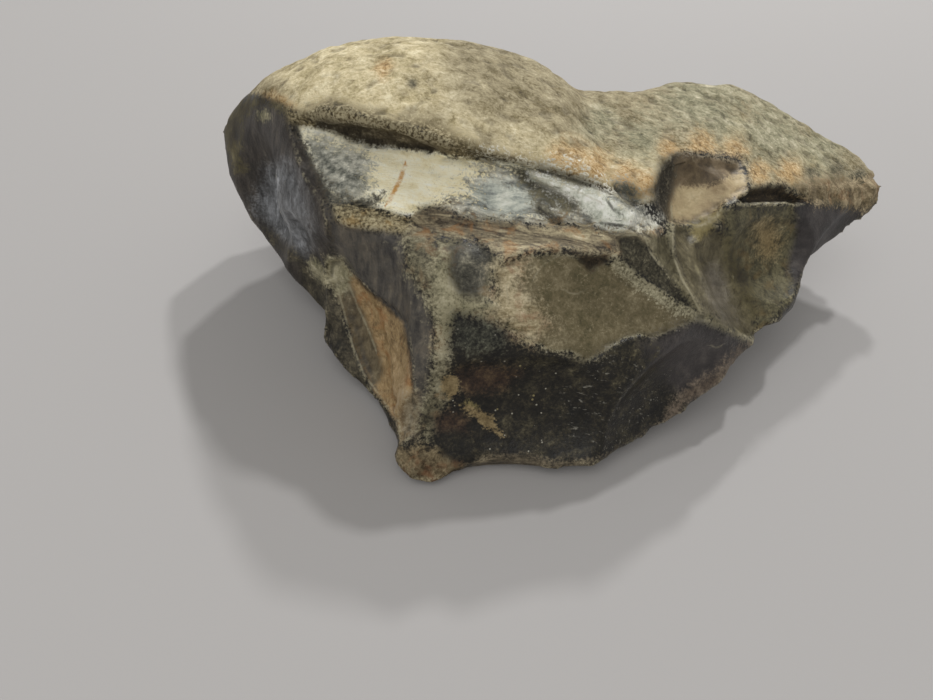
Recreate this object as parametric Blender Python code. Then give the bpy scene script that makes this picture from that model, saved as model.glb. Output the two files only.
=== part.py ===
"""A hand-sized flint nodule: one weathered stone with a rounded crown of cortex, a horn running out to
the right, and a front and flanks broken into flake scars.

It stands on a small flat spot. The frame has +Z up, +X to the right as the broken front is faced and
+Y away from it, with the origin in the middle of the flat spot.

It is made the way the real one was. Two lumps, each the hull of the corners a hand can point at, are
joined into the unbroken stone. A ledge is split off under the rim of the crown and flakes are struck
off with ball-shaped cutters. Wear then rounds the crown, blunts the edges and roughens the skin, and
the underside is ground flat where the stone rests.
"""

from math import sqrt

import bmesh
import bpy
from mathutils import Matrix, Vector, noise

MM = 0.001

# Corners of the unbroken stone in millimetres: x right, y away, z up.
BODY_CORNERS = {
    "left lobe, outermost": (-53, 18, 24),
    "left lobe, shoulder": (-50.5, 17, 29),
    "left lobe, front": (-51, 13, 19),
    "left lobe, underside": (-48, 10.5, 13),
    "left lobe, low": (-43, 10, 7),
    "left lobe, back": (-48, 31, 22),
    "crown, left front": (-43, 10, 35),
    "crown, front left": (-36, 2.5, 37),
    "crown, front": (-27, -5, 39),
    "crown, front middle": (-13, -6.5, 38.5),
    "crown, summit": (-21, 4, 42.8),
    "crown, summit back": (-22, 14, 43.3),
    "crown, left": (-33, 8, 41),
    "crown, left back": (-34, 16, 40.8),
    "crown, right": (-11, 6, 41.8),
    "crown, right back": (-10, 17, 41.8),
    "crown, right slope": (-2, 5, 39),
    "crown, right slope back": (-1, 17, 39),
    "crown, back left": (-40, 18, 37.5),
    "crown, back": (-29, 23, 40.2),
    "crown, back middle": (-14, 27, 40.8),
    "crown, back right": (1, 29.5, 37.3),
    "crown, right front": (9, -5.5, 34.5),
    "shoulder over the left flank": (-27, -11.5, 31),
    "shoulder over the front": (7, -12, 30),
    "shoulder, right": (20, -8, 24.5),
    "front ridge, upper": (-12.5, -19.5, 26),
    "front ridge, lower": (-11, -25.5, 12),
    "toe": (-9.8, -31.8, 1),
    "toe, left front": (-14.4, -30.8, 1),
    "toe, left": (-16.4, -28.2, 1.5),
    "toe, right": (-4, -29.5, 2),
    "front lip": (13.5, -27.6, 3.5),
    "front lip, middle": (20.5, -23, 4),
    "front lip, right": (26.5, -17.6, 5.5),
    "right corner": (37, -4.5, 11),
    "right corner, upper": (32.5, -5, 15),
    "left heel": (-36, 3, 4),
    "left foot": (-24.5, -10.5, 2),
    "back, left": (-38, 34, 12),
    "back, middle": (-16, 40, 20),
    "back, right": (8, 43, 18),
}
HORN_CORNERS = {
    "root, front": (9, -5.5, 34.5),
    "root, back": (6, 31, 34.6),
    "root, middle": (6, 12, 34),
    "rim, front": (18, 2, 33),
    "rim, over the hollow": (33, 18, 29.5),
    "rim, before the tip": (55, 26, 22.5),
    "back, near the saddle": (19, 39, 32),
    "back, high": (27, 44.5, 32),
    "back, outermost": (37, 49, 31),
    "back, slope": (49, 44, 27),
    "tip, back": (63, 42.5, 22.5),
    "tip": (69.5, 37.5, 19.5),
    "tip, underside": (67.5, 35, 16),
    "flank, upper": (58, 25, 13.5),
    "flank, middle": (50.5, 14.5, 11.5),
    "flank, lower": (42, 1.5, 9),
    "right corner": (37, -4.5, 11),
    "back, low": (34, 50, 22),
    "tip, low back": (58, 44, 17),
    "underside, back": (40, 40, 11),
    "underside, middle": (10, 36, 8),
    "underside, right": (30, 14, 3),
    "underside, front": (14, -8, 6),
}
FLAT_SPOT = [(-14, -17), (-8, -22), (10, -16), (21, 0), (16, 18), (-8, 23), (-22, 8)]
FLAT_SPOT_DEPTH = 1.0  # how far the lump reaches under the ground before it is ground flat

# The ledge under the rim of the crown: what is split off, from the crevice outwards.
LEDGE_CORNERS = {
    "crevice, left": (-36, 2.5, 35),
    "crevice, left middle": (-28, -2.5, 37),
    "crevice, middle": (-19, -4.8, 37.2),
    "crevice, right": (0, -6, 35.8),
    "crevice, run-out": (13, -5.5, 33.8),
    "rim, left": (-36, 1, 38),
    "rim, left middle": (-28, -4.5, 41),
    "rim, middle": (-19, -7, 41),
    "rim, right": (0, -7, 38),
    "rim, run-out": (13, -6, 35),
    "lip, left": (-34, -10, 30),
    "lip, left middle": (-27, -14, 30.8),
    "lip, middle": (-14, -17, 30),
    "lip, right": (8, -14, 29.6),
    "lip, run-out": (18, -9, 29.2),
    "sky, left": (-34, -14, 42),
    "sky, right": (10, -18, 42),
}

# Flake scars: where the middle of the flake was on the unbroken stone, the way it faced, the way it
# ran, its half length along the run, its half width, its depth and the bulge of the cutter, all in mm.
SCARS = {
    "lobe": ((-42, 7, 20), (-0.7, -0.7, 0.0), (-0.1, 0, 1), 11, 5, 1.8, 12),
    "left heel": ((-33, -2, 12), (-0.8, -0.6, -0.1), (0, -0.2, 1), 9, 5, 1.6, 14),
    "slate flank": ((-21.5, -15.5, 21), (-0.66, -0.75, 0.05), (0.1, 0, 1), 15, 7.5, 2.2, 30),
    "rust flank": ((-22.5, -15.5, 12), (-0.9, -0.4, -0.1), (0.35, -0.45, -0.85), 12, 5, 2.2, 12),
    "brown front": ((13, -13.5, 24), (0.3, -0.76, 0.58), (0.8, 0.1, -0.5), 18, 8.5, 1.5, 40),
    "grey spot": ((-7, -17.5, 27), (0.0, -0.8, 0.6), (0.2, 0, -1), 5, 3.5, 0.9, 12),
    "black front": ((4, -22.5, 13), (0.1, -0.97, 0.2), (1, 0.2, 0), 17, 8.5, 2.2, 34),
    "black corner": ((23, -14, 13), (0.55, -0.8, 0.1), (0.7, 0.5, 0.4), 13, 6, 1.8, 20),
    "above the toe": ((-5.5, -27, 8), (-0.05, -0.98, 0.2), (1, 0, 0.3), 6, 4, 1.0, 10),
    "beside the toe": ((-18.4, -23.4, 4), (-0.9, -0.42, 0.1), (0.42, -0.9, 0), 5.2, 5, 2.6, 8),
    "lip notch": ((1, -28.5, 2), (0, -0.72, -0.7), (1, 0, 0), 8.5, 4.5, 2.6, 12),
    "lip notch, right": ((28.5, -15, 5.5), (0.5, -0.6, -0.6), (0.6, 0.6, 0.3), 4, 2.6, 1.4, 7),
    "shoulder": ((18, -5.5, 28.5), (0.55, -0.6, 0.58), (0.5, 0.1, -0.85), 9, 4, 1.2, 16),
    "hollow": ((24.5, 5, 30.8), (0.25, -0.55, 0.8), (0.15, 0.8, 0.6), 10, 7, 4.4, 9),
    "gully": ((29, 1.5, 22), (0.62, -0.6, 0.5), (0.3, 0.2, -0.93), 11, 5, 2.0, 12),
    "flank": ((40, 8, 20), (0.5, -0.66, 0.55), (0.7, 0.7, -0.1), 13, 7, 3.6, 14),
    "under the tip": ((55, 23, 16), (0.7, -0.7, 0.0), (0.6, 0.7, 0.4), 9, 4, 1.0, 16),
    "right base": ((36, 1, 7), (0.7, -0.5, -0.5), (0.5, 0.85, 0), 8, 4, 1.2, 12),
    "saddle": ((12, 34, 34), (-0.05, 0.35, 0.94), (0.3, 1, 0), 14, 10, 2.0, 60),
    "back": ((-2, 42, 20), (0, 1, 0.15), (1, 0, 0.2), 20, 11, 2.4, 50),
    "back of the lobe": ((-45, 31, 17), (-0.7, 0.6, -0.35), (0.3, 0.5, 0.8), 10, 6, 1.4, 20),
    "horn underside": ((46, 36, 14), (0.35, 0.3, -0.9), (1, 0.2, 0), 17, 9, 2.6, 40),
}
STRIKE_DETAIL = 5  # subdivisions of the ball-shaped cutter

VOXEL = 1.0
EDGE_WEAR_ROUNDS = 3
CROWN_WEAR_ROUNDS = 30
CROWN_FLOOR = (25.0, 30.0)  # heights between which broken face gives way to crown
CROWN_SLOPE = (0.3, 0.65)  # the same, as the upward part of the facing
TRIANGLES = 9200

SKIN = {
    "crown": ((13.0, 0.55), (4.0, 0.28)),
    "broken": ((9.0, 0.35), (3.2, 0.16)),
}


def hull(name, corners):
    """The convex lump that the given corners span, as an object."""
    shape = bmesh.new()
    for corner in corners:
        shape.verts.new(Vector(corner) * MM)
    hulled = bmesh.ops.convex_hull(shape, input=shape.verts)
    bmesh.ops.delete(shape, geom=list(set(hulled["geom_interior"] + hulled["geom_unused"])), context="VERTS")
    bmesh.ops.recalc_face_normals(shape, faces=shape.faces)
    return placed(name, shape)


def ball(name, middle, facing, run, half_length, half_width, depth, bulge):
    """A cutter that leaves a hollow of the given size where it dips under the surface at middle."""
    outward = Vector(facing).normalized()
    across = outward.cross(Vector(run)).normalized()
    along = across.cross(outward)
    spread = 1 / sqrt(1 - (1 - depth / bulge) ** 2)
    shape = bmesh.new()
    bmesh.ops.create_icosphere(shape, subdivisions=STRIKE_DETAIL, radius=1.0)
    axes = Matrix((along, across, outward)).transposed().to_4x4()
    size = Matrix.Diagonal((half_length * spread, half_width * spread, bulge, 1))
    centre = Vector(middle) + outward * (bulge - depth)
    shape.transform(Matrix.Scale(MM, 4) @ Matrix.Translation(centre) @ axes @ size)
    return placed(name, shape)


def placed(name, shape):
    """Put a finished bmesh in the scene under its own name."""
    mesh = bpy.data.meshes.new(name)
    shape.to_mesh(mesh)
    shape.free()
    made = bpy.data.objects.new(name, mesh)
    bpy.context.scene.collection.objects.link(made)
    return made


def combine(stone, other, operation):
    """Join another lump to the stone, or take it away, and drop the other lump."""
    modifier = stone.modifiers.new(other.name, "BOOLEAN")
    modifier.operation = operation
    modifier.solver = "EXACT"
    modifier.object = other
    bake(stone)
    bpy.data.objects.remove(other)


def bake(stone):
    """Make what the modifiers give into the stone's own mesh."""
    graph = bpy.context.evaluated_depsgraph_get()
    mesh = bpy.data.meshes.new_from_object(stone.evaluated_get(graph))
    stone.modifiers.clear()
    stone.data = mesh


def remesh(stone):
    """Even out the triangles, so wear acts alike everywhere."""
    modifier = stone.modifiers.new("even grain", "REMESH")
    modifier.mode = "VOXEL"
    modifier.voxel_size = VOXEL * MM
    bake(stone)


def on_crown(vert):
    """How far a point belongs to the weathered crown: 0 on a broken face, 1 on the crown."""
    share = 1.0
    for value, (low, high) in ((vert.co.z / MM, CROWN_FLOOR), (vert.normal.z, CROWN_SLOPE)):
        share *= min(max((value - low) / (high - low), 0.0), 1.0)
    return share


def wear(stone):
    """Blunt every edge a little and round the crown."""
    crown = stone.vertex_groups.new(name="crown")
    for vert in stone.data.vertices:
        share = on_crown(vert)
        if share > 0:
            crown.add([vert.index], share, "REPLACE")
    for name, rounds, group in (("edges", EDGE_WEAR_ROUNDS, ""), ("crown", CROWN_WEAR_ROUNDS, crown.name)):
        modifier = stone.modifiers.new(name, "SMOOTH")
        modifier.iterations = rounds
        modifier.vertex_group = group
    bake(stone)


def roughen(stone):
    """Raise and lower the skin in two grains, coarser on the crown than on the broken faces."""
    shape = bmesh.new()
    shape.from_mesh(stone.data)
    lifts = []
    for vert in shape.verts:
        share = on_crown(vert)
        lift = 0.0
        for (crown_grain, crown_height), (grain, height) in zip(SKIN["crown"], SKIN["broken"]):
            lift += share * crown_height * noise.noise(vert.co / (crown_grain * MM))
            lift += (1 - share) * height * noise.noise(vert.co / (grain * MM))
        lifts.append(lift)
    for vert, lift in zip(shape.verts, lifts):
        vert.co += vert.normal * lift * MM
    shape.to_mesh(stone.data)
    shape.free()


def thin_out(stone):
    """Keep only the triangles the shape needs."""
    modifier = stone.modifiers.new("fewer triangles", "DECIMATE")
    modifier.ratio = TRIANGLES / (2 * len(stone.data.polygons))
    bake(stone)


def grind_flat(stone):
    """Cut the underside level with the ground and close it with one flat face."""
    shape = bmesh.new()
    shape.from_mesh(stone.data)
    geometry = shape.verts[:] + shape.edges[:] + shape.faces[:]
    bmesh.ops.bisect_plane(shape, geom=geometry, plane_co=(0, 0, 0), plane_no=(0, 0, 1), clear_inner=True)
    rim = [edge for edge in shape.edges if edge.is_boundary]
    bmesh.ops.holes_fill(shape, edges=rim)
    bmesh.ops.triangulate(shape, faces=shape.faces)
    bmesh.ops.recalc_face_normals(shape, faces=shape.faces)
    for face in shape.faces:
        face.smooth = face.normal.z > -0.999
    shape.to_mesh(stone.data)
    shape.free()


def flint():
    """Dark flint seen as a whole: the broken faces outweigh the pale crown."""
    material = bpy.data.materials.new("flint")
    material.use_nodes = True
    surface = material.node_tree.nodes["Principled BSDF"]
    surface.inputs["Base Color"].default_value = (0.17, 0.15, 0.115, 1)
    surface.inputs["Roughness"].default_value = 0.55
    surface.inputs["Metallic"].default_value = 0.0
    return material


def main():
    for old in list(bpy.data.objects):
        bpy.data.objects.remove(old)
    under = [(x, y, -FLAT_SPOT_DEPTH) for x, y in FLAT_SPOT]
    stone = hull("flint_nodule", list(BODY_CORNERS.values()) + under)
    combine(stone, hull("horn", HORN_CORNERS.values()), "UNION")
    combine(stone, hull("ledge", LEDGE_CORNERS.values()), "DIFFERENCE")
    for name, strike in SCARS.items():
        combine(stone, ball(name, *strike), "DIFFERENCE")
    remesh(stone)
    wear(stone)
    roughen(stone)
    thin_out(stone)
    grind_flat(stone)
    stone.data.materials.clear()
    stone.data.materials.append(flint())


main()
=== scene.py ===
import math

import bmesh
import bpy
import numpy as np
from mathutils import Matrix, Vector, noise


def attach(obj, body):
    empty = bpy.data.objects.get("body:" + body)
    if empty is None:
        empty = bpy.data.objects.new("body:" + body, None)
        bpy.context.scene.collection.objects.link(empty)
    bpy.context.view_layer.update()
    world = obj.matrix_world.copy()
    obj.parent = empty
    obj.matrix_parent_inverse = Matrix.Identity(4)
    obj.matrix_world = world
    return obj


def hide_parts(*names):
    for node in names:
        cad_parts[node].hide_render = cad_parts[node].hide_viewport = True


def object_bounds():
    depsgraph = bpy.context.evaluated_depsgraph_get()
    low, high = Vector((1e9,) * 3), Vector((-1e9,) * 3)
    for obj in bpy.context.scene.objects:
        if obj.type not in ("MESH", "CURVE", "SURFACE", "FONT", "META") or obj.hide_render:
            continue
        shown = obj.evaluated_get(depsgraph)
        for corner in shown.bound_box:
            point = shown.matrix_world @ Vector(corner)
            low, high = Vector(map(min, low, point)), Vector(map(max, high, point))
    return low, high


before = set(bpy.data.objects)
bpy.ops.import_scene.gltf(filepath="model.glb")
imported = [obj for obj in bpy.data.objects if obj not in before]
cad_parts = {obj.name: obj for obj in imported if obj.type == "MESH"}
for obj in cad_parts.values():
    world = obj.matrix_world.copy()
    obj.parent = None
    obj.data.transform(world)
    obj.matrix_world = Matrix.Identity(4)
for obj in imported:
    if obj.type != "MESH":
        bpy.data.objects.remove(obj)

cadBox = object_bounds()
mm = 0.001
frameWide, frameHigh = 933, 700

# where the viewer stands, in metres and degrees, and the lens in millimetres
shot = {
    "place": (-0.008, -0.084, 0.080),
    "dip": 44.3,  # below level
    "roll": 7.0,
    "lens": 26,
    "sensor": 36,
    "nearest": 0.005,
}


def makeCamera():
    cameraData = bpy.data.cameras.new("viewCamera")
    cameraData.lens = shot["lens"]
    cameraData.sensor_width = shot["sensor"]
    cameraData.clip_start = shot["nearest"]
    camera = bpy.data.objects.new("viewCamera", cameraData)
    bpy.context.scene.collection.objects.link(camera)
    tilt = Matrix.Rotation(math.radians(90 - shot["dip"]), 4, "X")
    roll = Matrix.Rotation(math.radians(shot["roll"]), 4, "Z")
    camera.matrix_world = Matrix.Translation(shot["place"]) @ tilt @ roll
    bpy.context.scene.camera = camera
    return camera


# what can be changed about the stone's form, in millimetres
stoneForm = {
    "skinGrain": 0.5,  # size of the finished skin's mesh
    "skinSmoothing": 2,  # rounds
    "crownLumps": ((6.0, 0.22), (2.4, 0.20), (1.2, 0.08)),  # size and height of each grain
    "brokenLumps": ((5.0, 0.12), (1.6, 0.06)),
    "pitSize": 1.7,
    "pitPick": (0.2, 0.5),  # strength of the grain where pits begin and where they're full
    "pitDepth": 0.14,
    "tipLumps": (2.2, 0.55),
    "toeShare": 0.6,  # how much of the tip's lumps the toe has
    "ridgeLift": 0.22,
    "crackDepth": 0.35,
    "lineWidth": 3.5,  # of ridges and cracks, in pixels
    "dentUnrest": (1.5, 3),  # size of the grain that unsettles dents, and its reach in pixels
    "rippleFade": 8,  # from a patch's edge inwards, in pixels
}

# the weathered skin where the viewer can't see it: its reach in pixels by how the stone faces
hiddenCrown = {
    "reach": 30,
    "everywhere": 0.1,
    "upward": 0.7,
    "backward": 0.5,
    "patchy": 0.8,
    "patchSize": 14.0,  # in millimetres
}

# patches end where the stone turns away from the viewer: facing from -1 to 1, and pixels per unit of it
sight = {"edge": -0.3, "crown": (-0.35, -0.05), "fade": 60}

# how gradually the lumps of each part set in, in pixels from its outline
lumpEdges = {"crown": (-4, 4), "tipFront": (-6, 4), "toe": (-6, 6)}

# each grain has its own seed, so that no two are alike
seeds = {"crown": 0, "patches": 3, "broken": 5, "pits": 11, "tip": 13, "dents": 17}

# the ledge under the crown's rim, cut once more so that its edges are crisp
ledgeCut = {
    "crevice, left": (-36, 2.8, 34.8),
    "crevice, left middle": (-28, -2.2, 36.8),
    "crevice, middle": (-19, -4.5, 37.0),
    "crevice, right": (0, -5.8, 35.6),
    "crevice, run-out": (13, -5.3, 33.7),
    "rim, left": (-36, 1.2, 38),
    "rim, left middle": (-28, -4.2, 41),
    "rim, middle": (-19, -6.7, 41),
    "rim, right": (0, -6.8, 38),
    "rim, run-out": (13, -5.8, 35),
    "lip, left": (-34, -10, 29.8),
    "lip, left middle": (-27, -14, 30.6),
    "lip, middle": (-14, -17, 29.8),
    "lip, right": (8, -14, 29.4),
    "lip, run-out": (18, -9, 29),
    "sky, left": (-34, -14, 42),
    "sky, right": (10, -18, 42),
}

# flake scars struck again: middle, facing, run, half length, half width, depth, bulge in millimetres
strikes = {
    "slate flank": ((-21.5, -15.5, 21), (-0.66, -0.75, 0.05), (0.1, 0, 1), 15, 7.5, 2.4, 30),
    "rust flank": ((-22.5, -15.5, 12), (-0.9, -0.4, -0.1), (0.35, -0.45, -0.85), 12, 5, 2.5, 12),
    "brown front": ((13, -13.5, 24), (0.3, -0.76, 0.58), (0.8, 0.1, -0.5), 18, 8.5, 1.8, 40),
    "black front": ((4, -22.5, 13), (0.1, -0.97, 0.2), (1, 0.2, 0), 17, 8.5, 2.5, 34),
    "black corner": ((23, -14, 13), (0.55, -0.8, 0.1), (0.7, 0.5, 0.4), 13, 6, 2.1, 20),
    "shoulder": ((18, -5.5, 28.5), (0.55, -0.6, 0.58), (0.5, 0.1, -0.85), 9, 4, 1.5, 16),
    "hollow": ((24.5, 5, 30.8), (0.25, -0.55, 0.8), (0.15, 0.8, 0.6), 10, 7, 4.7, 9),
    "gully": ((29, 1.5, 22), (0.62, -0.6, 0.5), (0.3, 0.2, -0.93), 11, 5, 2.3, 12),
    "flank": ((40, 8, 20), (0.5, -0.66, 0.55), (0.7, 0.7, -0.1), 13, 7, 3.9, 14),
}


def bake(piece):
    graph = bpy.context.evaluated_depsgraph_get()
    mesh = bpy.data.meshes.new_from_object(piece.evaluated_get(graph))
    piece.modifiers.clear()
    piece.data = mesh


def cutAway(stone, cutter):
    modifier = stone.modifiers.new(cutter.name, "BOOLEAN")
    modifier.operation = "DIFFERENCE"
    modifier.solver = "EXACT"
    modifier.object = cutter
    bake(stone)
    bpy.data.objects.remove(cutter)


def asObject(name, shape):
    mesh = bpy.data.meshes.new(name)
    shape.to_mesh(mesh)
    shape.free()
    made = bpy.data.objects.new(name, mesh)
    bpy.context.scene.collection.objects.link(made)
    return made


def ledgeCutter():
    shape = bmesh.new()
    for corner in ledgeCut.values():
        shape.verts.new(Vector(corner) * mm)
    hull = bmesh.ops.convex_hull(shape, input=shape.verts)
    leftOver = set(hull["geom_interior"] + hull["geom_unused"])
    bmesh.ops.delete(shape, geom=list(leftOver), context="VERTS")
    bmesh.ops.recalc_face_normals(shape, faces=shape.faces)
    return asObject("ledgeCutter", shape)


# a ball squashed so that it leaves a scar of the wanted length, width and depth
def strikeCutter(name, middle, facing, run, halfLength, halfWidth, depth, bulge):
    outward = Vector(facing).normalized()
    across = outward.cross(Vector(run)).normalized()
    along = across.cross(outward)
    spread = 1 / math.sqrt(1 - (1 - depth / bulge) ** 2)
    shape = bmesh.new()
    bmesh.ops.create_icosphere(shape, subdivisions=6, radius=1.0)
    axes = Matrix((along, across, outward)).transposed().to_4x4()
    size = Matrix.Diagonal((halfLength * spread, halfWidth * spread, bulge, 1))
    centre = Matrix.Translation(Vector(middle) + outward * (bulge - depth))
    bmesh.ops.transform(shape, matrix=Matrix.Scale(mm, 4) @ centre @ axes @ size, verts=shape.verts)
    return asObject(name, shape)


def smoothAll(shape, rounds):
    everyAxis = dict(use_axis_x=True, use_axis_y=True, use_axis_z=True)
    for _ in range(rounds):
        bmesh.ops.smooth_vert(shape, verts=shape.verts, factor=0.5, **everyAxis)


def carveStone():
    stone = bpy.data.objects.new("flintNodule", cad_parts["flint_nodule"].data.copy())
    bpy.context.scene.collection.objects.link(stone)
    shape = bmesh.new()
    shape.from_mesh(stone.data)
    bmesh.ops.remove_doubles(shape, verts=shape.verts, dist=0.001 * mm)
    shape.to_mesh(stone.data)
    shape.free()
    cutAway(stone, ledgeCutter())
    for name, strike in strikes.items():
        cutAway(stone, strikeCutter(name, *strike))
    skin = stone.modifiers.new("skin", "REMESH")
    skin.mode = "VOXEL"
    skin.voxel_size = stoneForm["skinGrain"] * mm
    bake(stone)
    shape = bmesh.new()
    shape.from_mesh(stone.data)
    smoothAll(shape, stoneForm["skinSmoothing"])
    shape.to_mesh(stone.data)
    shape.free()
    print("stone carved:", len(stone.data.vertices), "points")
    return stone


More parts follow.
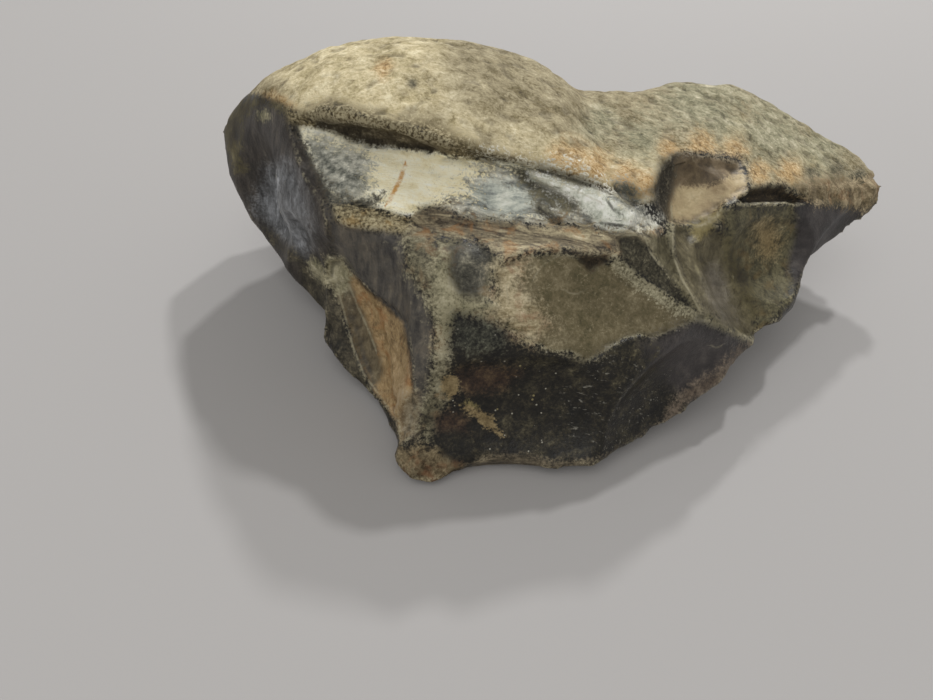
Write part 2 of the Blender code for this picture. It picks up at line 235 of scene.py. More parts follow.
# outlines of the patches, as pixels of the 933 x 700 frame seen from the shot
outlines = {
    "crown": [
        (236, 90), (259, 95), (283, 106), (300, 114), (307, 119), (318, 110), (328, 106), (346, 108),
        (359, 115), (385, 123), (406, 125), (426, 132), (437, 138), (456, 147), (476, 154), (500, 158),
        (524, 164), (540, 170), (563, 175), (586, 182), (609, 191), (618, 198), (639, 207), (659, 200),
        (664, 182), (669, 163), (678, 154), (687, 152), (714, 154), (737, 156), (748, 166), (752, 188),
        (765, 185), (783, 184), (798, 193), (822, 203), (845, 207), (873, 207), (905, 200), (905, 10),
        (240, 10),
    ],
    "underRim": [
        (280, 104), (300, 110), (318, 102), (345, 102), (365, 108), (390, 116), (425, 122), (465, 135),
        (500, 150), (560, 166), (612, 186), (600, 200), (563, 184), (534, 168), (500, 164), (458, 160),
        (415, 152), (372, 148), (335, 135), (300, 130), (288, 120),
    ],
    # dark line under the crown's rim: the stone's own dark with painted shade
    "crevice": [
        (316, 119), (335, 122), (353, 122), (372, 126), (395, 131), (415, 137), (434, 145), (446, 153),
        (425, 153), (404, 150), (376, 148), (353, 143), (337, 135), (316, 128),
    ],
    "creviceWall": [
        (308, 114), (322, 106), (345, 106), (362, 112), (385, 118), (410, 124), (436, 134), (456, 145),
        (470, 155), (452, 154), (434, 145), (415, 137), (395, 130), (372, 126), (353, 122), (335, 123),
        (316, 122),
    ],
    "ledge": [
        (300, 128), (318, 129), (335, 134), (350, 141), (372, 146), (394, 148), (415, 150), (437, 154),
        (458, 158), (491, 161), (513, 162), (534, 165), (563, 178), (586, 186), (612, 194), (632, 206),
        (646, 218), (659, 225), (648, 237), (632, 232), (614, 232), (597, 226), (570, 221), (545, 223),
        (513, 221), (480, 219), (459, 214), (446, 206), (426, 207), (411, 217), (387, 211), (370, 206),
        (359, 202), (341, 201), (328, 193), (322, 182), (313, 164), (302, 143),
    ],
    "ledgeGrey": [
        (304, 136), (314, 134), (330, 140), (350, 148), (366, 152), (374, 162), (368, 174), (374, 186),
        (366, 192), (372, 202), (340, 206), (318, 190), (306, 160),
    ],
    # painted shade along the broken edge where the ledge ends
    "ledgeEndShade": [
        (296, 130), (304, 144), (310, 158), (320, 172), (328, 184), (342, 194), (354, 200), (368, 200),
        (382, 194), (384, 200), (370, 207), (345, 208), (322, 196), (302, 170),
    ],
    "ledgeStreaks": [
        (478, 157), (500, 160), (560, 170), (620, 190), (665, 222), (650, 242), (600, 232), (545, 228),
        (480, 224), (440, 212), (450, 200), (474, 192), (466, 180), (490, 170),
    ],
    "ledgeBlue": [
        (476, 188), (495, 180), (515, 184), (530, 190), (534, 204), (524, 215), (505, 217), (486, 212),
        (474, 202),
    ],
    "ledgeOlive": [
        (508, 166), (528, 170), (548, 186), (564, 194), (578, 204), (576, 212), (560, 210), (546, 204),
        (532, 196), (520, 180),
    ],
    "ledgeSlate": [(536, 202), (548, 205), (558, 214), (566, 226), (552, 226), (543, 218), (534, 210)],
    "ledgeBright": [
        (528, 172), (546, 176), (564, 183), (580, 189), (592, 188), (608, 196), (624, 205), (634, 214),
        (634, 226), (616, 234), (598, 228), (588, 214), (577, 203), (564, 194), (545, 186), (530, 179),
    ],
    "rimShade": [
        (524, 164), (545, 168), (565, 174), (584, 181), (600, 187), (590, 190), (577, 188), (562, 182),
        (546, 176), (528, 171),
    ],
    "fringe": [
        (411, 217), (426, 207), (446, 206), (459, 214), (480, 219), (513, 221), (545, 223), (570, 221),
        (597, 226), (614, 231), (640, 228), (660, 232), (655, 246), (620, 258), (589, 256), (567, 251),
        (530, 253), (500, 262), (477, 241), (444, 238), (420, 240), (405, 236),
    ],
    "tanStrip": [
        (333, 206), (345, 205), (370, 209), (400, 217), (414, 225), (405, 236), (380, 233), (350, 229),
        (337, 222),
    ],
    "slate": [
        (324, 196), (335, 222), (350, 228), (380, 232), (404, 236), (407, 270), (426, 298), (435, 326),
        (432, 357), (429, 391), (421, 410), (415, 425), (411, 368), (408, 346), (400, 322), (370, 292),
        (351, 273), (338, 262), (330, 240),
    ],
    "rust": [
        (328, 262), (340, 262), (351, 273), (370, 292), (390, 309), (403, 323), (408, 346), (411, 368),
        (413, 391), (417, 408), (413, 433), (401, 441), (397, 422), (387, 408), (373, 391), (359, 360),
        (348, 323), (337, 293), (327, 273),
    ],
    "rustGrey": [
        (326, 270), (340, 264), (350, 280), (360, 305), (371, 330), (378, 352), (384, 372), (374, 388),
        (360, 362), (348, 325), (336, 295),
    ],
    "rustFoot": [(404, 396), (418, 392), (424, 410), (418, 436), (402, 440), (398, 420)],
    "rustPale": [(326, 258), (342, 258), (352, 275), (348, 292), (336, 296), (326, 275)],
    "mottled": [
        (404, 234), (430, 236), (455, 240), (500, 258), (500, 268), (494, 285), (492, 300), (505, 318),
        (470, 318), (455, 312), (450, 340), (449, 375), (460, 390), (452, 400), (440, 412), (430, 440),
        (418, 430), (421, 410), (429, 391), (432, 357), (435, 326), (426, 298), (407, 270),
    ],
    "mottledPale": [
        (436, 250), (448, 252), (450, 285), (460, 300), (485, 302), (505, 306), (520, 318), (505, 322),
        (480, 312), (455, 312), (448, 340), (444, 350), (440, 320), (432, 300),
    ],
    "greySpot": [(452, 248), (478, 243), (492, 255), (488, 280), (478, 296), (460, 292), (449, 272)],
    "olive": [
        (500, 265), (522, 256), (550, 253), (573, 255), (587, 260), (609, 263), (620, 259), (634, 273),
        (657, 290), (685, 307), (699, 312), (713, 318), (693, 321), (674, 329), (657, 338), (640, 335),
        (626, 338), (612, 346), (595, 357), (585, 364), (581, 357), (567, 352), (553, 352), (533, 343),
        (516, 335), (500, 324), (491, 312), (500, 307), (497, 287), (497, 270),
    ],
    "oliveCream": [
        (496, 266), (520, 260), (525, 275), (512, 290), (535, 305), (545, 325), (530, 340), (510, 330),
        (492, 312), (500, 305), (496, 285),
    ],
    "oliveSpot": [(573, 254), (590, 257), (608, 256), (609, 262), (598, 266), (592, 274), (586, 266)],
    "cornerGrey": [
        (640, 345), (673, 330), (700, 322), (735, 334), (748, 348), (738, 371), (713, 394), (690, 398),
        (672, 388), (650, 372),
    ],
    "cornerBrown": [
        (750, 342), (748, 352), (738, 372), (713, 395), (686, 402), (676, 422), (651, 437), (640, 440),
        (660, 425), (672, 405), (690, 385), (715, 372), (735, 352),
    ],
    "toe": [
        (394, 444), (406, 450), (424, 446), (446, 452), (460, 462), (470, 476), (450, 492), (425, 494),
        (394, 482),
    ],
    "toeBlack": [(440, 436), (456, 432), (469, 440), (468, 456), (456, 462), (443, 454)],
    "redBrown": [(434, 418), (450, 412), (467, 418), (466, 430), (450, 434), (437, 430)],
    "brownStain": [(456, 372), (490, 366), (520, 372), (505, 388), (470, 394), (456, 388)],
    "greenStain": [(455, 316), (480, 322), (505, 334), (500, 350), (470, 352), (452, 345)],
    "glints": [
        (572, 372), (610, 356), (650, 350), (664, 372), (650, 415), (612, 450), (580, 450), (566, 410),
    ],
    "tanChip": [(441, 377), (453, 374), (459, 382), (458, 396), (448, 398), (442, 390)],
    "tanFlow": [
        (454, 406), (466, 404), (478, 409), (492, 414), (495, 421), (497, 428), (506, 437), (501, 437),
        (492, 431), (484, 427), (475, 418), (464, 410),
    ],
    "greenFlow": [(461, 403), (469, 400), (477, 406), (480, 412), (472, 410), (464, 407)],
    "lipEdge": [
        (466, 466), (480, 458), (500, 454), (528, 455), (548, 461), (566, 464), (600, 458), (618, 448),
        (622, 456), (600, 470), (564, 478), (528, 470), (500, 468), (466, 482),
    ],
    "darkTriangle": [(615, 184), (628, 184), (636, 190), (641, 200), (640, 207), (628, 204), (618, 194)],
    "facetDark": [
        (618, 238), (638, 235), (648, 244), (658, 262), (666, 275), (680, 291), (693, 307), (680, 301),
        (659, 287), (638, 273), (621, 257),
    ],
    "oliveRidge": [
        (608, 256), (620, 259), (640, 276), (660, 291), (684, 305), (703, 312), (727, 324), (757, 339),
        (756, 346), (722, 332), (700, 322), (680, 315), (655, 300), (632, 284), (612, 266),
    ],
    "facetRidge": [
        (668, 222), (675, 224), (675, 243), (679, 262), (688, 282), (697, 297), (706, 313), (699, 312),
        (688, 298), (678, 282), (671, 264), (667, 243),
    ],
    "facetShadow": [
        (677, 228), (690, 226), (694, 240), (704, 246), (706, 262), (698, 270), (688, 262), (680, 248),
    ],
    "facetPale": [(704, 272), (715, 264), (724, 276), (728, 300), (736, 324), (722, 320), (708, 302)],
    "facetGreen": [
        (723, 232), (731, 238), (735, 258), (744, 276), (752, 290), (757, 318), (750, 320), (742, 300),
        (733, 284), (725, 264),
    ],
    "facetOlive": [
        (645, 237), (668, 236), (674, 259), (682, 280), (697, 300), (735, 334), (720, 326), (694, 308),
        (680, 291), (662, 266), (652, 252),
    ],
    "facetBrown": [
        (674, 225), (690, 232), (712, 228), (722, 235), (728, 262), (740, 285), (754, 312), (756, 334),
        (735, 334), (700, 305), (682, 280), (674, 255),
    ],
    "hollow": [
        (657, 190), (664, 165), (678, 154), (687, 152), (701, 155), (724, 159), (740, 163), (744, 175),
        (747, 189), (737, 198), (724, 200), (714, 212), (698, 221), (682, 221), (671, 221), (664, 207),
    ],
    "hollowCream": [
        (671, 221), (669, 205), (676, 188), (690, 186), (712, 184), (728, 178), (742, 172), (747, 189),
        (737, 198), (724, 201), (714, 212), (698, 222), (684, 222),
    ],
    # painted shade on the hollow's steep left wall
    "hollowWallShade": [
        (655, 205), (650, 190), (660, 166), (670, 154), (677, 154), (677, 175), (672, 192), (668, 215),
    ],
    "tongue": [(689, 222), (704, 216), (726, 208), (722, 216), (714, 225), (700, 241), (694, 237)],
    # painted shade in the undercut beneath the horn's rim
    "slotShade": [
        (742, 198), (751, 191), (765, 187), (783, 186), (795, 194), (806, 200), (793, 201), (770, 202),
        (745, 203),
    ],
    "flank": [
        (722, 212), (740, 206), (793, 205), (798, 235), (790, 262), (794, 290), (772, 322), (757, 338),
        (754, 312), (740, 285), (728, 262),
    ],
    "flankTan": [(756, 226), (772, 222), (778, 240), (774, 256), (764, 258), (757, 244)],
    "horn": [
        (797, 203), (822, 206), (845, 210), (873, 208), (884, 200), (862, 214), (838, 238), (811, 266),
        (797, 284), (788, 267), (797, 235),
    ],
    "tipFront": [
        (792, 188), (811, 179), (834, 176), (861, 180), (878, 170), (890, 182), (878, 206), (860, 210),
        (845, 207), (822, 204), (804, 198),
    ],
    "lobe": [
        (222, 104), (242, 104), (268, 106), (279, 107), (284, 118), (302, 143), (315, 169), (324, 190),
        (327, 212), (331, 238), (328, 262), (318, 290), (300, 300), (215, 240),
    ],
    "lobeRim": [
        (222, 104), (242, 98), (262, 98), (284, 104), (282, 112), (266, 104), (252, 108), (243, 118),
        (240, 134), (240, 150), (245, 172), (236, 172), (228, 150), (222, 125),
    ],
    # painted highlight: a small pale spot on the lobe
    "lobeHighlight": [(258, 113), (263, 110), (269, 113), (269, 118), (263, 121), (258, 118)],
    # painted reflection: pale blue-grey streaks of a light mirrored in the lobe's glossy hollow
    "lobeReflection": [
        (268, 168), (284, 162), (296, 172), (304, 200), (310, 230), (308, 262), (298, 254), (284, 240),
        (268, 226), (257, 212), (256, 198), (264, 186),
    ],
    "lobeFoot": [(262, 224), (280, 240), (296, 254), (306, 262), (300, 268), (284, 254), (264, 238)],
    "heel": [
        (300, 262), (318, 255), (328, 262), (327, 273), (337, 293), (348, 323), (359, 360), (373, 391),
        (360, 395), (330, 340), (300, 300),
    ],
    "heelPale": [(308, 262), (316, 258), (326, 272), (330, 288), (320, 282), (312, 272)],
}

# soft-edged tints of the crown: middle and radius in pixels, in the same frame
tints = {
    "crownCream": [
        (350, 75, 60), (320, 90, 45), (400, 60, 45), (300, 75, 35), (410, 100, 40), (470, 130, 30),
        (520, 130, 24), (560, 150, 26), (600, 165, 20), (640, 160, 16), (735, 128, 12), (815, 160, 14),
    ],
    "crownBrown": [
        (500, 80, 40), (530, 100, 30), (620, 105, 40), (575, 115, 30), (650, 120, 26), (430, 125, 16),
        (268, 92, 14), (700, 88, 22), (470, 60, 20),
    ],
    "crownGreen": [
        (715, 115, 36), (770, 135, 34), (820, 150, 26), (690, 100, 26), (640, 140, 22), (600, 125, 18),
    ],
    "crownOrange": [
        (575, 160, 16), (596, 164, 14), (560, 154, 10), (626, 176, 12), (644, 184, 10), (700, 146, 14),
        (735, 150, 12), (670, 148, 10), (790, 172, 12), (268, 100, 8), (385, 66, 9), (760, 172, 10),
        (284, 108, 9),
    ],
    "crownDark": [(412, 84, 6), (335, 112, 10), (838, 168, 8), (860, 176, 9), (812, 172, 7), (350, 120, 8)],
}

# thin lines across the skin, in pixels
threads = {
    "rustThread": [[(405, 166), (400, 180), (394, 192), (388, 203)]],
    # pale lines along ridges and edges, also raised as ridges: partly worn edges, partly painted highlight
    "ridgeWearAndHighlight": [
        [(334, 275), (345, 315), (353, 347), (364, 374), (387, 406)], [(302, 127), (330, 130), (352, 139)],
        [(540, 178), (563, 184), (581, 193), (600, 202)], [(593, 188), (613, 194), (631, 205)],
        [(616, 235), (638, 235), (645, 237)], [(645, 237), (650, 252), (658, 263), (662, 267)],
        [(671, 207), (673, 230), (673, 255), (682, 279), (692, 296), (700, 311)],
        [(346, 278), (358, 307), (369, 331), (376, 350)], [(740, 204), (770, 203), (793, 203)],
    ],
    # painted glints: short pale crescents and strokes where light catches the surface
    "glintStroke": [
        [(564, 290), (569, 293), (577, 294), (586, 290)], [(535, 276), (544, 264), (560, 255)],
        [(510, 267), (519, 266), (528, 266)], [(513, 277), (506, 286), (508, 298)],
        [(712, 346), (717, 348), (722, 345)],
    ],
    "darkThread": [
        [(357, 202), (366, 201), (376, 197)], [(540, 171), (563, 177), (586, 184), (609, 193)],
        [(607, 200), (613, 209), (620, 214)], [(600, 223), (625, 226), (648, 236)],
    ],
}

# how deep each patch is let into the stone, in millimetres, and how wide its edge is in pixels
dents = {
    "crevice": (0.7, 6),
    "creviceWall": (-0.7, 6),
    "ledgeEndShade": (0.5, 8),
    "ledgeBright": (-0.5, 5),
    "ledgeOlive": (0.4, 5),
    "ledgeSlate": (0.3, 4),
    "oliveRidge": (-0.25, 6),
    "facetRidge": (-0.25, 6),
    "facetShadow": (0.3, 6),
    "rust": (0.8, 4),
    "slate": (0.35, 5),
    "olive": (0.45, 3),
    "oliveSpot": (0.5, 4),
    "hollow": (1.2, 10),
    "slotShade": (1.7, 6),
    "darkTriangle": (0.9, 6),
    "facetDark": (0.5, 5),
    "facetBrown": (0.3, 8),
    "lobeReflection": (0.6, 16),
    "greySpot": (0.3, 6),
    "flank": (0.5, 9),
    "tanStrip": (-0.25, 4),
    "fringe": (-0.3, 6),
    "mottledPale": (-0.2, 5),
    "tanFlow": (-0.2, 3),
    "heelPale": (-0.4, 4),
}

# ripples that spread from where a flake was struck: middle and spacing in pixels, height in millimetres
ripples = {
    "rust": ((350, 255), 11, 0.06),
    "slate": ((360, 200), 14, 0.05),
    "olive": ((655, 235), 15, 0.05),
    "facetOlive": ((665, 215), 10, 0.05),
    "facetBrown": ((715, 215), 12, 0.06),
    "hollowCream": ((735, 175), 9, 0.05),
    "lobeReflection": ((275, 150), 10, 0.08),
}

# places pressed in or drawn out: middle and radius in pixels, lift in millimetres
nudges = {
    "heel, pinched in": ((322, 334), 26, -1.3),
    "ledge lip, left": ((352, 190), 30, 0.7),
    "ledge lip, middle": ((402, 204), 34, 0.9),
    "ledge lip, right": ((456, 204), 34, 0.9),
    "ledge, run-out": ((530, 210), 34, 0.7),
}


def smooth(low, high, value):
    share = np.clip((value - low) / (high - low), 0, 1)
    return share * share * (3 - 2 * share)


# pixels of each point, and how far it faces the viewer from -1 to 1
def seenFrom(camera, places, normals):
    turn = np.array(camera.matrix_world.to_3x3())
    away = places - np.array(camera.matrix_world.translation)
    local = away @ turn
    scale = shot["lens"] / shot["sensor"] * frameWide
    pixels = np.empty((len(places), 2))
    pixels[:, 0] = frameWide / 2 + scale * local[:, 0] / -local[:, 2]
    pixels[:, 1] = frameHigh / 2 - scale * local[:, 1] / -local[:, 2]
    facing = -np.sum(normals * away, axis=1) / np.linalg.norm(away, axis=1)
    return pixels, facing


# distance in pixels to one stretch of a line, and the side of it: -1 or 1
def distanceToStretch(pixels, start, end):
    run = np.subtract(end, start).astype(float)
    away = pixels - np.array(start, float)
    along = np.clip(away @ run / (run @ run), 0, 1)
    gap = np.linalg.norm(away - along[:, None] * run, axis=1)
    side = np.sign(run[0] * away[:, 1] - run[1] * away[:, 0])
    return gap, side


# distance in pixels to an outline's edge, positive inside
def insideOutline(pixels, outline):
    nearest = np.full(len(pixels), 1e6)
    inside = np.zeros(len(pixels), bool)
    for start, end in zip(outline, outline[1:] + outline[:1]):
        nearest = np.minimum(nearest, distanceToStretch(pixels, start, end)[0])
        if start[1] != end[1]:
            spans = (start[1] > pixels[:, 1]) != (end[1] > pixels[:, 1])
            crossing = start[0] + (pixels[:, 1] - start[1]) * (end[0] - start[0]) / (end[1] - start[1])
            inside ^= spans & (pixels[:, 0] < crossing)
    return np.where(inside, nearest, -nearest)


# distance in pixels to the nearest of some lines, once with its side as the sign and once without
def alongThreads(pixels, lines):
    nearest = np.full(len(pixels), 1e6)
    signed = np.full(len(pixels), 1e6)
    for line in lines:
        for start, end in zip(line, line[1:]):
            gap, side = distanceToStretch(pixels, start, end)
            closer = gap < nearest
            nearest = np.where(closer, gap, nearest)
            signed = np.where(closer, gap * side, signed)
    return signed, nearest


def readPoints(mesh):
    places = np.empty(len(mesh.vertices) * 3)
    normals = np.empty(len(mesh.vertices) * 3)
    mesh.vertices.foreach_get("co", places)
    mesh.vertices.foreach_get("normal", normals)
    return places.reshape(-1, 3), normals.reshape(-1, 3)


def grain(places, size, seed):
    shift = Vector((seed * 17.3, seed * 5.1, seed * 9.7))
    return np.array([noise.noise(Vector(place) / (size * mm) + shift) for place in places])


def storeMask(mesh, name, values):
    layer = mesh.attributes.new(name, "FLOAT", "POINT")
    layer.data.foreach_set("value", np.ascontiguousarray(values, dtype=np.float32))


# how far each point belongs to the weathered skin, in pixels, also where the viewer can't see it
def crownReach(places, normals, pixels, facing):
    seen = insideOutline(pixels, outlines["crown"])
    patches = hiddenCrown["patchy"] * grain(places, hiddenCrown["patchSize"], seeds["patches"])
    upward = hiddenCrown["upward"] * normals[:, 2]
    backward = hiddenCrown["backward"] * normals[:, 1]
    hidden = hiddenCrown["reach"] * (hiddenCrown["everywhere"] + upward + backward + patches)
    share = smooth(*sight["crown"], facing)
    return share * seen + (1 - share) * hidden


# small lumps of the crown, the broken faces, the tip and the toe, in millimetres
def lumps(places, crown, tip, toe):
    form = stoneForm
    lift = np.zeros(len(places))
    for number, (size, height) in enumerate(form["crownLumps"], seeds["crown"]):
        lift += crown * height * grain(places, size, number)
    for number, (size, height) in enumerate(form["brokenLumps"], seeds["broken"]):
        lift += (1 - crown) * height * grain(places, size, number)
    size, height = form["tipLumps"]
    lift += height * np.maximum(tip, form["toeShare"] * toe) * grain(places, size, seeds["tip"])
    return lift


# what is let into the stone or drawn out of it, in millimetres
def handWork(places, pixels):
    form = stoneForm
    size, reach = form["dentUnrest"]
    unsteady = reach * grain(places, size, seeds["dents"])
    lift = np.zeros(len(places))
    for name, (depth, width) in dents.items():
        inside = insideOutline(pixels, outlines[name]) + unsteady
        lift -= depth * smooth(-width / 2, width / 2, inside)
    for name, (middle, spacing, height) in ripples.items():
        inside = smooth(0, form["rippleFade"], insideOutline(pixels, outlines[name]))
        away = np.linalg.norm(pixels - np.array(middle), axis=1) + unsteady
        lift += height * inside * np.sin(2 * np.pi * away / spacing)
    for middle, radius, height in nudges.values():
        away = np.linalg.norm(pixels - np.array(middle), axis=1)
        lift += height * smooth(radius, 0, away)
    ridge = alongThreads(pixels, threads["ridgeWearAndHighlight"])[1] / form["lineWidth"]
    lift += form["ridgeLift"] * np.exp(-(ridge**2))
    crack = alongThreads(pixels, threads["darkThread"])[1] / form["lineWidth"]
    lift -= form["crackDepth"] * np.exp(-(crack**2))
    return lift


def roughenSkin(stone, camera):
    places, normals = readPoints(stone.data)
    pixels, facing = seenFrom(camera, places, normals)
    crown = smooth(*lumpEdges["crown"], crownReach(places, normals, pixels, facing))
    near = smooth(sight["edge"], 0, facing)
    tip = smooth(*lumpEdges["tipFront"], insideOutline(pixels, outlines["tipFront"])) * near
    toe = smooth(*lumpEdges["toe"], insideOutline(pixels, outlines["toe"])) * near
    pitGrain = grain(places, stoneForm["pitSize"], seeds["pits"])
    pits = smooth(*stoneForm["pitPick"], pitGrain) * np.maximum(crown, toe)
    lift = lumps(places, crown, tip, toe) - stoneForm["pitDepth"] * pits + near * handWork(places, pixels)
    places += normals * (lift * mm)[:, None]
    places = np.clip(places, cadBox[0], cadBox[1])
    stone.data.vertices.foreach_set("co", places.ravel())
    stone.data.update()
    storeMask(stone.data, "pit", pits)
    print("skin roughened")


# how sharply each point stands out from its neighbours, blurred a little
def edgeSharpness(mesh, rounds=2):
    places, normals = readPoints(mesh)
    ends = np.empty(len(mesh.edges) * 2, int)
    mesh.edges.foreach_get("vertices", ends)
    a, b = ends.reshape(-1, 2).T
    counts = np.bincount(np.concatenate((a, b)), minlength=len(places))
    run = places[b] - places[a]
    length = np.linalg.norm(run, axis=1)
    bend = np.zeros(len(places))
    np.add.at(bend, a, -np.sum(run * normals[a], axis=1) / length)
    np.add.at(bend, b, np.sum(run * normals[b], axis=1) / length)
    bend /= counts
    for _ in range(rounds):
        total = np.zeros(len(places))
        np.add.at(total, a, bend[b])
        np.add.at(total, b, bend[a])
        bend = 0.5 * bend + 0.5 * total / counts
    return bend


def paintMasks(stone, camera):
    mesh = stone.data
    places, normals = readPoints(mesh)
    pixels, facing = seenFrom(camera, places, normals)
    beyondSight = facing - sight["edge"]
    fade = sight["fade"] * beyondSight  # a patch ends a little beyond the edge of sight
    storeMask(mesh, "crown", crownReach(places, normals, pixels, facing))
    for name, finish in finishes.items():
        parts = [insideOutline(pixels, outlines[part]) for part in (name, *finish.get("also", ()))]
        storeMask(mesh, name, np.minimum(np.max(parts, axis=0), fade))
    for name, blots in tints.items():
        reach = [1 - np.linalg.norm(pixels - np.array(blot[:2]), axis=1) / blot[2] for blot in blots]
        storeMask(mesh, name, np.minimum(np.max(reach, axis=0), beyondSight))
    for name, lines in threads.items():
        signed, nearest = alongThreads(pixels, lines)
        storeMask(mesh, name + "Side", signed)
        storeMask(mesh, name + "Gap", np.maximum(nearest, -fade))
    storeMask(mesh, "edge", edgeSharpness(mesh))
    print("masks painted:", len(mesh.attributes))


# tones that more than one finish has
shades = {
    "black": "070605 110f0b 1f1c15 3d3829 6a634c",
    "mossy": "4f4627 605632 756a43 877c53 9a9066",
    "charcoal": "1e1b1b 2a2726 383433 4a4542 625d57",
    "ashen": "14130f 2b2923 4d4a40 7f7b69 b5b19d",
    "lichen": "46442f 69664d 8a8468 a69f83 c4bda2",
}
